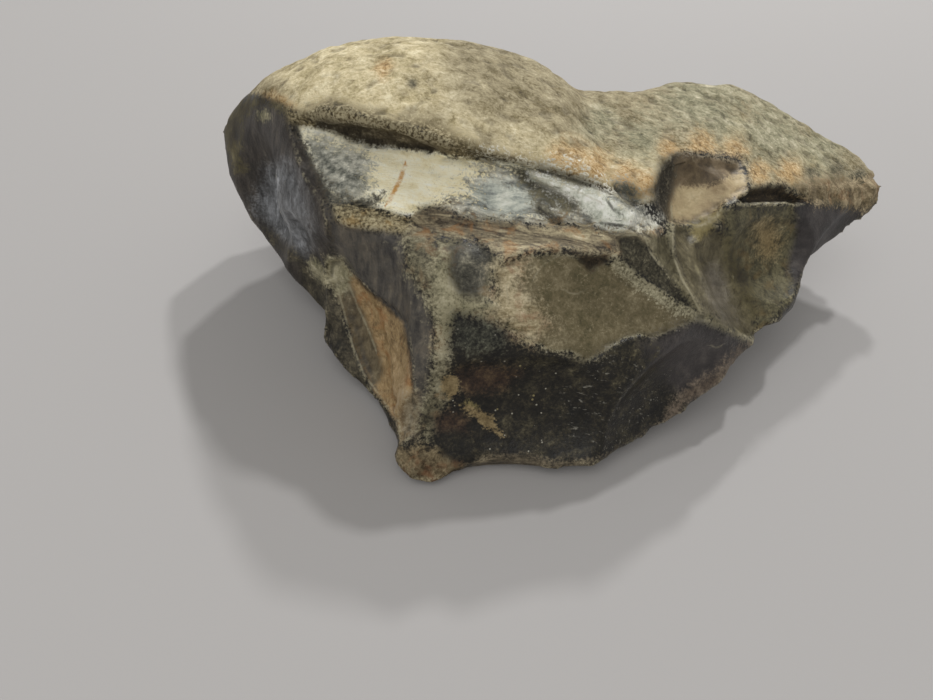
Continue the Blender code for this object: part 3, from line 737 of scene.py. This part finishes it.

# each finish: tones from its darkest grains to its lightest, the grain that lays them out, and its gloss;
# soft and wobble are the softness and unrest of its edge in pixels, rim a speckled border: tone and width,
# tint, vein and scratchGlint a mark's tone and strength (scratchGlint: painted glints along fine
# scratches), also the further outlines that have the same finish
finishes = {
    "underRim": dict(
        tones="221c11 493f2b 786d50 a69a7a cfc4a2", grain="granular", rough=0.9, soft=8, wobble=18,
        also=("creviceWall",),
    ),
    # the crevice: the stone's own dark with painted shade under the rim
    "crevice": dict(
        tones="1a1710 322c21 504838 786f5a a69c82", grain="mottled", rough=0.85, soft=5, wobble=10,
    ),
    "ledge": dict(
        tones="d8ca9c f4e9c1 fdf6d7 fffce6 fffef5", grain="streaked", rough=0.7, soft=2.5, wobble=7,
        vein=("a89c7a", 0.35),
    ),
    "ledgeGrey": dict(
        tones="33352f 63655d 9b9b8f cbc9ba eeecde", grain="blotchy", rough=0.7, soft=9, wobble=22,
    ),
    # painted shade along the broken edge at the ledge's end
    "ledgeEndShade": dict(tones=shades["ashen"], grain="blotchy", rough=0.7, soft=7, wobble=22),
    "ledgeStreaks": dict(
        tones="35383a 72746f b2b1a5 e6e5d7 fdfcf4", grain="streaked", rough=0.6, soft=9, wobble=40,
        tint=("857552", 0.45),
    ),
    "ledgeBlue": dict(
        tones="5f6563 949a95 c4c9be e6e8da fbfbf4", grain="streaked", rough=0.6, soft=8, wobble=20,
    ),
    # rimShade takes these tones as painted shade under the crown's rim
    "ledgeOlive": dict(
        tones="1f1e16 39372a 57533f 807a62 b1aa8f", grain="mottled", rough=0.6, soft=6, wobble=18,
        also=("rimShade",),
    ),
    "ledgeSlate": dict(tones=shades["ashen"], grain="blotchy", rough=0.6, soft=5, wobble=14),
    "ledgeBright": dict(
        tones="7d8275 b9bdae e2e4d6 f7f7ee fffffa", grain="blotchy", rough=0.6, soft=4, wobble=12,
    ),
    "fringe": dict(
        tones="221d14 50473a 7f745d aea283 dcd2b4", grain="streaked", rough=0.8, soft=7, wobble=20,
        tint=("a2733f", 0.45),
    ),
    "tanStrip": dict(
        tones="2c2719 564d37 85795b ada281 cfc6a3", grain="granular", rough=0.8, soft=6, wobble=14,
        tint=("a8823f", 0.3),
    ),
    "slate": dict(
        tones="292826 3b3835 504c45 645d52 7b7463", grain="combed", rough=0.42, soft=5, wobble=10,
    ),
    "rust": dict(
        tones="57452b 7d6745 a18860 b89f78 d0ba92", grain="mottled", rough=0.38, soft=2, wobble=4,
        rim=("33281c", 4), tint=("9c6430", 0.45), vein=("c2a983", 0.4),
    ),
    "rustGrey": dict(
        tones="3e3628 564c3a 6b604a 82765d a09478", grain="combed", rough=0.4, soft=4, wobble=5,
    ),
    "rustFoot": dict(
        tones="453b2b 665a45 83775f 9c917a b5ab95", grain="mottled", rough=0.5, soft=8, wobble=10,
    ),
    "mottled": dict(
        tones="262318 4a4534 746e57 9b957c c0ba9f", grain="mottled", rough=0.65, soft=7, wobble=18,
        tint=("8c6a44", 0.35),
    ),
    "mottledPale": dict(tones=shades["lichen"], grain="mottled", rough=0.6, soft=9, wobble=20),
    "greySpot": dict(
        tones="121210 28271f 48463c 6f6b5c 9d9882", grain="mottled", rough=0.5, soft=6, wobble=12,
    ),
    "olive": dict(
        tones="433c28 564f35 695f45 7e7459 9b9073", grain="mottled", rough=0.36, soft=2, wobble=6,
        rim=("958f76", 5), vein=("9c9276", 0.55),
    ),
    "oliveRidge": dict(
        tones="3f3b2a 625d48 878168 aaa387 cbc5aa", grain="granular", rough=0.5, soft=4, wobble=12,
        also=("facetRidge",),
    ),
    "oliveCream": dict(
        tones="675838 877857 a89a79 c8ba98 e2d5b5", grain="streaked", rough=0.45, soft=14, wobble=22,
        tint=("97684c", 0.4), vein=("cfc4a4", 0.5),
    ),
    "greenStain": dict(
        tones="11110d 1f1f18 33332a 4e4e41 757564", grain="granular", rough=0.5, soft=9, wobble=22,
        also=("darkTriangle",),
    ),
    "brownStain": dict(
        tones="140e0a 261b14 3b2c21 54432f 705c46", grain="mottled", rough=0.45, soft=9, wobble=14,
        also=("redBrown",),
    ),
    "cornerGrey": dict(tones=shades["charcoal"], grain="clouded", rough=0.3, soft=10, wobble=14),
    "cornerBrown": dict(
        tones="2f261f 473c32 5f5346 786b5c 95887a", grain="mottled", rough=0.4, soft=7, wobble=12,
    ),
    "toe": dict(
        tones="241d13 453a27 6a5d45 8e8063 b3a687", grain="mottled", rough=0.8, soft=6, wobble=14,
        tint=("7d4f30", 0.4),
    ),
    # pale streaks on the dark flint: painted glints along fine scratches
    "glints": dict(
        tones=shades["black"], grain="mottled", rough=0.3, soft=16, wobble=30, scratchGlint=("9a978b", 0.6),
    ),
    "toeBlack": dict(tones=shades["black"], grain="mottled", rough=0.4, soft=5, wobble=12),
    "greenFlow": dict(tones=shades["mossy"], grain="clouded", rough=0.7, soft=3, wobble=8),
    "tanFlow": dict(
        tones="4e4229 6b5b3d 857452 9b8a66 b6a681", grain="mottled", rough=0.7, soft=2, wobble=7,
        also=("tanChip",),
    ),
    "lipEdge": dict(
        tones="201c15 3b352a 5a5142 80755f a89c82", grain="streaked", rough=0.6, soft=5, wobble=12,
    ),
    # facetShadow takes these tones as painted shadow
    "facetDark": dict(
        tones="14130e 272419 3b3729 565140 857f68", grain="granular", rough=0.45, soft=4, wobble=8,
        also=("facetShadow",),
    ),
    "facetOlive": dict(
        tones="332f20 48422d 5d5740 7a7359 9a9276", grain="combed", rough=0.45, soft=4, wobble=6,
    ),
    "facetBrown": dict(
        tones="332d1c 453e2a 57503a 6c644c 87805f", grain="combed", rough=0.45, soft=5, wobble=8,
    ),
    "facetPale": dict(
        tones="3d392e 524d40 665f51 7a7365 928b7a", grain="clouded", rough=0.4, soft=9, wobble=10,
    ),
    "hollow": dict(
        tones="2e251b 483c2d 63553f 7f6f57 a29479", grain="clouded", rough=0.45, soft=3, wobble=6,
        rim=("a2967d", 4),
    ),
    "hollowCream": dict(
        tones="7a6947 937f5d a89573 baa883 cebe9a", grain="clouded", rough=0.5, soft=4, wobble=8,
    ),
    # painted shade on the hollow's left wall
    "hollowWallShade": dict(
        tones="12100b 222018 37332a 585244 817963", grain="granular", rough=0.7, soft=6, wobble=12,
    ),
    "tongue": dict(tones=shades["mossy"], grain="clouded", rough=0.5, soft=4, wobble=7),
    "flank": dict(
        tones="232116 3a3625 544f39 706a4f 918a6c", grain="mottled", rough=0.5, soft=6, wobble=12,
        tint=("6e5a34", 0.4),
    ),
    "flankTan": dict(
        tones="57482c 70603f 857450 9a8964 b3a37f", grain="mottled", rough=0.55, soft=10, wobble=16,
    ),
    "horn": dict(tones=shades["charcoal"], grain="clouded", rough=0.5, soft=5, wobble=8),
    # painted shade in the undercut under the horn's rim; oliveSpot takes the same dark tones
    "slotShade": dict(
        tones="15110c 241e15 352c1f 4b402f 675a43", grain="granular", rough=0.85, soft=4, wobble=8,
        also=("oliveSpot",),
    ),
    "tipFront": dict(
        tones="2c2316 524630 796b50 a09072 c6b897", grain="mottled", rough=0.8, soft=6, wobble=16,
        tint=("8d6238", 0.3),
    ),
    "lobe": dict(
        tones="1c1815 292521 37322d 4a443d 645d52", grain="combed", rough=0.45, soft=5, wobble=10,
        rim=("4f4736", 6),
    ),
    "lobeRim": dict(
        tones="231f15 3a3425 50492f 6b6346 8d8566", grain="clouded", rough=0.6, soft=6, wobble=10,
        also=("facetGreen",),
    ),
    # painted reflection on the lobe's glossy hollow
    "lobeReflection": dict(
        tones="343435 4b4c4d 686a6c 8c8e91 bbbdc1", grain="combed", rough=0.28, soft=12, wobble=14,
    ),
    "heel": dict(
        tones="16140f 2a271f 423d31 625b49 867d67", grain="mottled", rough=0.6, soft=6, wobble=12,
        also=("lobeFoot",),
    ),
    # lobeHighlight takes these pale tones as a painted highlight
    "heelPale": dict(
        tones=shades["lichen"], grain="mottled", rough=0.6, soft=4, wobble=8, also=("rustPale", "lobeHighlight"),
    ),
}

flint = dict(tones=shades["black"], grain="mottled", rough=0.32, vein=("3c372c", 0.3))
crownFinish = dict(
    tones="463d28 776c4c a1967a bdb395 dcd4ba", grain="mottled", rough=0.85, soft=4, wobble=10,
    tint=("8d7c55", 0.5), vein=("cfc4a4", 0.3),
)
# tints that run into each other on the weathered skin
tintFinishes = {
    "crownCream": dict(tones="786b48 a89b74 c8ba94 e0d4b0 f6eed2", grain="mottled"),
    "crownBrown": dict(tones="453b26 6f6446 918669 aca080 cabf9f", grain="mottled"),
    "crownGreen": dict(tones="35332a 68664f 908c70 b4ad92 dcd4b9", grain="mottled"),
    "crownOrange": dict(tones="5d4a2c 8d7044 b39566 cfb58a e6d6b4", grain="granular"),
    "crownDark": dict(tones="1f1d14 3d392a 5c5744 817a63 aba48a", grain="granular"),
}
tintEdge = {"wobble": 2.4, "soft": 0.9}  # as shares of a tint's radius
threadFinishes = {
    "rustThread": dict(tone="c98f3c", width=1.9, strength=0.9),
    # partly wear, partly painted highlight
    "ridgeWearAndHighlight": dict(tone="b5ae93", width=0.9, strength=0.45),
    # painted glints
    "glintStroke": dict(tone="a8a188", width=0.8, strength=0.28),
    "darkThread": dict(tone="2a261d", width=1.3, strength=0.7),
}
threadEdge = {"side": (1.8, 0.4), "ends": (7.0, 4.0)}  # fading out and full: in widths, and in pixels
wear = dict(tone="b3aa8c", starts=0.05, full=0.16, strength=0.5)
# painted shade in the hollows: the bend where it starts and where it's full, and its darkest share
creaseShade = dict(starts=-0.02, full=-0.12, darkest=0.45)
pitFinish = dict(tone="3d3423", strength=0.35)
# specks on the dark flint: how far apart, in millimetres, and how large a part of that they are
dust = {
    "pale": dict(tone="a39f90", spacing=1.25, size=0.13),
    "tan": dict(tone="857a55", spacing=2.6, size=0.09),
}
# bump too fine for the mesh: its depth in millimetres, its share on broken faces and what the crown adds
relief = dict(strength=0.6, depth=0.4, broken=0.4, crown=0.6)
specularLevel = 0.35

# noises that the grains are mixed from: size and stretch in millimetres
noises = {
    "fine": dict(size=0.42, detail=3, rough=0.7, stretch=(1, 1, 1), curl=0.0),
    "marble": dict(size=2.0, detail=7, rough=0.75, stretch=(1, 1, 1), curl=0.4),
    "cloud": dict(size=6.5, detail=5, rough=0.6, stretch=(1, 1, 1), curl=0.4),
    "blot": dict(size=1.1, detail=4, rough=0.6, stretch=(1, 1, 1), curl=0.3),
    "streak": dict(size=1.3, detail=6, rough=0.72, stretch=(0.3, 1, 1), curl=0.7),
    "scratchGlint": dict(size=0.55, detail=3, rough=0.5, stretch=(0.2, 1, 0.8), curl=1.5),
    "comb": dict(size=1.6, detail=6, rough=0.65, stretch=(1.3, 1.3, 0.3), curl=0.5),
    "vein": dict(size=2.2, detail=2.5, rough=0.5, stretch=(1, 1, 1), curl=1.6),
    "stain": dict(size=3.3, detail=4, rough=0.6, stretch=(1, 1, 1), curl=0.6),
}
# share of each noise in a grain, and how strongly it's spread out between the darkest and lightest tones
grains = {
    "granular": dict(mix=dict(fine=0.55, marble=0.35, cloud=0.10), spread=0.15),
    "mottled": dict(mix=dict(fine=0.25, marble=0.50, cloud=0.25), spread=0.14),
    "blotchy": dict(mix=dict(fine=0.20, blot=0.35, marble=0.30, cloud=0.15), spread=0.12),
    "clouded": dict(mix=dict(fine=0.12, marble=0.33, cloud=0.55), spread=0.17),
    "streaked": dict(mix=dict(fine=0.15, streak=0.65, cloud=0.20), spread=0.15),
    "combed": dict(mix=dict(fine=0.15, comb=0.60, cloud=0.25), spread=0.16),
}
# values of a noise where a mark is absent and where it's full
picks = {
    "speckle": (0.42, 0.58),
    "stain": (0.5, 0.66),
    "vein": (0.016, 0.003),
    "scratchGlint": (0.6, 0.68),
    "dust": (0.4, 0.56),
    "thread": (0.36, 0.56),
}
unrest = {"edge": 2.0, "tintCloud": 1.2, "tintBlot": 0.8}  # how strongly each grain unsettles an edge


def albedo(tone):
    values = [int(tone[at : at + 2], 16) / 255 for at in (0, 2, 4)]
    linear = [value / 12.92 if value < 0.04045 else ((value + 0.055) / 1.055) ** 2.4 for value in values]
    return (*linear, 1)


def addNode(tree, kind, **values):
    node = tree.nodes.new(kind)
    for key, value in values.items():
        setattr(node, key, value)
    return node


def feed(tree, socket, value):
    if isinstance(value, bpy.types.NodeSocket):
        tree.links.new(value, socket)
    else:
        socket.default_value = value


def maths(tree, kind, *values):
    node = addNode(tree, "ShaderNodeMath", operation=kind)
    for socket, value in zip(node.inputs, values):
        feed(tree, socket, value)
    return node.outputs[0]


# 0 where the value is at start, 1 where it's at end
def ramped(tree, value, start, end):
    node = addNode(tree, "ShaderNodeMapRange", interpolation_type="SMOOTHSTEP")
    feed(tree, node.inputs["Value"], value)
    feed(tree, node.inputs["From Min"], start)
    feed(tree, node.inputs["From Max"], end)
    return node.outputs[0]


def over(tree, under, mask, top, kind="RGBA"):
    mix = addNode(tree, "ShaderNodeMix", data_type=kind)
    sockets = [socket for socket in mix.inputs if socket.enabled]
    for socket, value in zip(sockets, (mask, under, top)):
        feed(tree, socket, value)
    return [socket for socket in mix.outputs if socket.enabled][0]


# a patch's mask: its stored distance, unsettled by a grain, goes from 0 to 1 across a soft edge
def patchGroup():
    group = bpy.data.node_groups.new("patchEdge", "ShaderNodeTree")
    for name in ("Distance", "Grain", "Wobble", "Softness", "Rim Width"):
        group.interface.new_socket(name, in_out="INPUT", socket_type="NodeSocketFloat")
    for name in ("Mask", "Rim"):
        group.interface.new_socket(name, in_out="OUTPUT", socket_type="NodeSocketFloat")
    given = addNode(group, "NodeGroupInput").outputs
    result = addNode(group, "NodeGroupOutput").inputs
    shifted = maths(group, "MULTIPLY_ADD", given["Grain"], given["Wobble"], given["Distance"])
    mask = ramped(group, shifted, maths(group, "MULTIPLY", given["Softness"], -1.0), given["Softness"])
    border = ramped(group, shifted, given["Rim Width"], 0.0)
    group.links.new(mask, result["Mask"])
    group.links.new(maths(group, "MULTIPLY", border, mask), result["Rim"])
    return group


def noiseField(tree, place, size, detail, rough, stretch, curl):
    mapping = addNode(tree, "ShaderNodeMapping")
    mapping.inputs["Scale"].default_value = [value / (size * mm) for value in stretch]
    texture = addNode(tree, "ShaderNodeTexNoise")
    texture.inputs["Scale"].default_value = 1
    texture.inputs["Detail"].default_value = detail
    texture.inputs["Roughness"].default_value = rough
    texture.inputs["Distortion"].default_value = curl
    tree.links.new(place, mapping.inputs["Vector"])
    tree.links.new(mapping.outputs[0], texture.inputs["Vector"])
    return texture.outputs["Fac"]


def mixedGrain(tree, fields, mix, spread):
    total = 0.0
    for name, share in mix.items():
        total = maths(tree, "MULTIPLY_ADD", fields[name], share, total)
    grainRange = addNode(tree, "ShaderNodeMapRange")
    tree.links.new(total, grainRange.inputs["Value"])
    grainRange.inputs["From Min"].default_value = 0.5 - spread
    grainRange.inputs["From Max"].default_value = 0.5 + spread
    return grainRange.outputs[0]


def toneRamp(tree, grainValue, tones):
    ramp = addNode(tree, "ShaderNodeValToRGB")
    stops = ramp.color_ramp.elements
    tones = tones.split()
    for number in range(1, len(tones) - 1):
        stops.new(number / (len(tones) - 1))
    for stop, tone in zip(stops, tones):
        stop.color = albedo(tone)
    tree.links.new(grainValue, ramp.inputs[0])
    return ramp.outputs[0]


# what all the finishes draw on; those that are alike share the nodes kept in portions and ramps
def paintBox(tree):
    place = addNode(tree, "ShaderNodeTexCoord").outputs["Object"]
    fields = {name: noiseField(tree, place, **values) for name, values in noises.items()}
    grainValues = {name: mixedGrain(tree, fields, **values) for name, values in grains.items()}
    edgeGrain = maths(tree, "ADD", fields["fine"], fields["marble"])
    edgeGrain = maths(tree, "MULTIPLY_ADD", edgeGrain, unrest["edge"], -unrest["edge"])
    speckle = ramped(tree, fields["fine"], *picks["speckle"])
    stain = ramped(tree, fields["stain"], *picks["stain"])
    offVein = maths(tree, "ABSOLUTE", maths(tree, "SUBTRACT", fields["vein"], 0.5))
    vein = maths(tree, "MULTIPLY", ramped(tree, offVein, *picks["vein"]), speckle)
    # painted glints along fine scratches, drawn as thin pale streaks
    scratchGlint = maths(tree, "MULTIPLY", ramped(tree, fields["scratchGlint"], *picks["scratchGlint"]), speckle)
    centred = -(unrest["tintCloud"] + unrest["tintBlot"]) / 2
    tintGrain = maths(tree, "MULTIPLY_ADD", fields["blot"], unrest["tintBlot"], centred)
    tintGrain = maths(tree, "MULTIPLY_ADD", fields["cloud"], unrest["tintCloud"], tintGrain)
    return {
        "place": place,
        "fields": fields,
        "grains": grainValues,
        "edgeGrain": edgeGrain,
        "tintGrain": tintGrain,
        "speckle": speckle,
        "marks": {"tint": stain, "vein": vein, "scratchGlint": scratchGlint},
        "portions": {},
        "ramps": {},
        "patch": patchGroup(),
    }


def stored(tree, name):
    return addNode(tree, "ShaderNodeAttribute", attribute_name=name).outputs["Fac"]


def patchMask(tree, box, name, wobble, soft, rimWidth=0, unsettled="edgeGrain"):
    edge = addNode(tree, "ShaderNodeGroup", node_tree=box["patch"])
    tree.links.new(stored(tree, name), edge.inputs["Distance"])
    tree.links.new(box[unsettled], edge.inputs["Grain"])
    edge.inputs["Wobble"].default_value = wobble
    edge.inputs["Softness"].default_value = soft
    edge.inputs["Rim Width"].default_value = rimWidth
    return edge.outputs


def finished(tree, box, finish):
    look = finish["grain"], finish["tones"]
    if look not in box["ramps"]:
        box["ramps"][look] = toneRamp(tree, box["grains"][finish["grain"]], finish["tones"])
    colour = box["ramps"][look]
    portions = box["portions"]
    for kind, mark in box["marks"].items():
        if kind in finish:
            tone, strength = finish[kind]
            if (kind, strength) not in portions:
                portions[kind, strength] = maths(tree, "MULTIPLY", mark, strength)
            colour = over(tree, colour, portions[kind, strength], albedo(tone))
    return colour


def dustedFlint(tree, box):
    colour = finished(tree, box, flint)
    picked = ramped(tree, box["fields"]["stain"], *picks["dust"])
    for kind in dust.values():
        dots = addNode(tree, "ShaderNodeTexVoronoi")
        dots.inputs["Scale"].default_value = 1 / (kind["spacing"] * mm)
        tree.links.new(box["place"], dots.inputs["Vector"])
        spot = ramped(tree, dots.outputs["Distance"], kind["size"], kind["size"] / 2)
        colour = over(tree, colour, maths(tree, "MULTIPLY", spot, picked), albedo(kind["tone"]))
    return colour


def weatheredSkin(tree, box):
    skin = finished(tree, box, crownFinish)
    for name, finish in tintFinishes.items():
        mask = patchMask(tree, box, name, **tintEdge, unsettled="tintGrain")["Mask"]
        skin = over(tree, skin, mask, finished(tree, box, finish))
    pits = maths(tree, "MULTIPLY", stored(tree, "pit"), pitFinish["strength"])
    return over(tree, skin, pits, albedo(pitFinish["tone"]))


def patched(tree, box, colour, gloss):
    for name, finish in finishes.items():
        rimTone, rimWidth = finish.get("rim", (None, 0))
        masks = patchMask(tree, box, name, finish["wobble"], finish["soft"], rimWidth)
        colour = over(tree, colour, masks["Mask"], finished(tree, box, finish))
        gloss = over(tree, gloss, masks["Mask"], finish["rough"], "FLOAT")
        if rimWidth:
            speckled = maths(tree, "MULTIPLY", masks["Rim"], box["speckle"])
            colour = over(tree, colour, speckled, albedo(rimTone))
    return colour, gloss


def threaded(tree, box, colour):
    fadesAt, fullAt = threadEdge["side"]
    for name, finish in threadFinishes.items():
        aside = maths(tree, "ABSOLUTE", stored(tree, name + "Side"))
        line = ramped(tree, aside, finish["width"] * fadesAt, finish["width"] * fullAt)
        close = ramped(tree, stored(tree, name + "Gap"), *threadEdge["ends"])
        broken = ramped(tree, box["fields"]["marble"], *picks["thread"])
        drawn = maths(tree, "MULTIPLY", maths(tree, "MULTIPLY", line, close), broken)
        drawn = maths(tree, "MULTIPLY", drawn, finish["strength"])
        colour = over(tree, colour, drawn, albedo(finish["tone"]))
    return colour


# sharp edges rubbed pale, and painted shade darkening the hollows
def wornEdgesAndCreaseShade(tree, box, colour):
    sharpness = stored(tree, "edge")
    worn = ramped(tree, sharpness, wear["starts"], wear["full"])
    worn = maths(tree, "MULTIPLY", maths(tree, "MULTIPLY", worn, box["speckle"]), wear["strength"])
    colour = over(tree, colour, worn, albedo(wear["tone"]))
    # painted shade: the hollows darkened towards black
    deep = ramped(tree, sharpness, creaseShade["starts"], creaseShade["full"])
    return over(tree, colour, maths(tree, "MULTIPLY", deep, creaseShade["darkest"]), (0, 0, 0, 1))


def stoneMaterial():
    material = bpy.data.materials.new("weatheredFlint")
    material.use_nodes = True
    tree = material.node_tree
    surface = tree.nodes["Principled BSDF"]
    box = paintBox(tree)
    colour = dustedFlint(tree, box)
    skin = weatheredSkin(tree, box)
    crownMask = patchMask(tree, box, "crown", crownFinish["wobble"], crownFinish["soft"])["Mask"]
    colour = over(tree, colour, crownMask, skin)
    gloss = over(tree, flint["rough"], crownMask, crownFinish["rough"], "FLOAT")
    colour, gloss = patched(tree, box, colour, gloss)
    colour = threaded(tree, box, colour)
    colour = wornEdgesAndCreaseShade(tree, box, colour)
    tree.links.new(colour, surface.inputs["Base Color"])
    tree.links.new(gloss, surface.inputs["Roughness"])
    surface.inputs["Specular IOR Level"].default_value = specularLevel

    heights = maths(tree, "ADD", box["fields"]["fine"], box["fields"]["marble"])
    share = maths(tree, "MULTIPLY_ADD", crownMask, relief["crown"], relief["broken"])
    heights = maths(tree, "MULTIPLY", heights, share)
    bump = addNode(tree, "ShaderNodeBump")
    bump.inputs["Strength"].default_value = relief["strength"]
    bump.inputs["Distance"].default_value = relief["depth"] * mm
    tree.links.new(heights, bump.inputs["Height"])
    tree.links.new(bump.outputs[0], surface.inputs["Normal"])
    print("material mixed:", len(tree.nodes), "nodes")
    return material


def makeStone(camera):
    stone = carveStone()
    roughenSkin(stone, camera)
    paintMasks(stone, camera)
    stone.data.materials.clear()
    stone.data.materials.append(stoneMaterial())
    for face in stone.data.polygons:
        face.use_smooth = True
    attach(stone, "root")
    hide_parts("flint_nodule")
    print("stone finished")


studioFloor = dict(radius=1.6, sides=96, colour=(0.39, 0.378, 0.370), rough=0.9)  # radius in metres


def makeFloor():
    shape = bmesh.new()
    sides, radius = studioFloor["sides"], studioFloor["radius"]
    bmesh.ops.create_circle(shape, cap_ends=True, segments=sides, radius=radius)
    floor = asObject("studioFloor", shape)
    material = bpy.data.materials.new("paleFloor")
    material.use_nodes = True
    surface = material.node_tree.nodes["Principled BSDF"]
    surface.inputs["Base Color"].default_value = (*studioFloor["colour"], 1)
    surface.inputs["Roughness"].default_value = studioFloor["rough"]
    floor.data.materials.append(material)


# two small lamps behind the stone, a broad one before it: energy in watts, the rest in metres
lamps = {
    "rightLamp": dict(aim=(0.195, 0.552, 0.811), distance=1.0, size=0.06, energy=3.4),
    "backLamp": dict(aim=(0.0, 0.724, 0.690), distance=1.0, size=0.06, energy=3.6),
    "frontLamp": dict(aim=(-0.25, -0.55, 0.8), distance=1.0, size=1.2, energy=3.9),
}
room = dict(colour=(1.0, 0.98, 0.95), strength=0.41)  # pale light from all round


def makeLights():
    for name, lamp in lamps.items():
        lightData = bpy.data.lights.new(name, "AREA")
        lightData.shape = "DISK"
        lightData.size = lamp["size"]
        lightData.energy = lamp["energy"]
        light = bpy.data.objects.new(name, lightData)
        bpy.context.scene.collection.objects.link(light)
        aim = Vector(lamp["aim"]).normalized()
        light.location = aim * lamp["distance"]
        light.rotation_euler = aim.to_track_quat("Z", "Y").to_euler()
    world = bpy.data.worlds.new("room")
    bpy.context.scene.world = world
    world.use_nodes = True
    background = world.node_tree.nodes["Background"]
    background.inputs["Color"].default_value = (*room["colour"], 1)
    background.inputs["Strength"].default_value = room["strength"]


makeStone(makeCamera())
makeFloor()
makeLights()
bpy.context.scene.view_settings.view_transform = "Standard"
print("studio set")
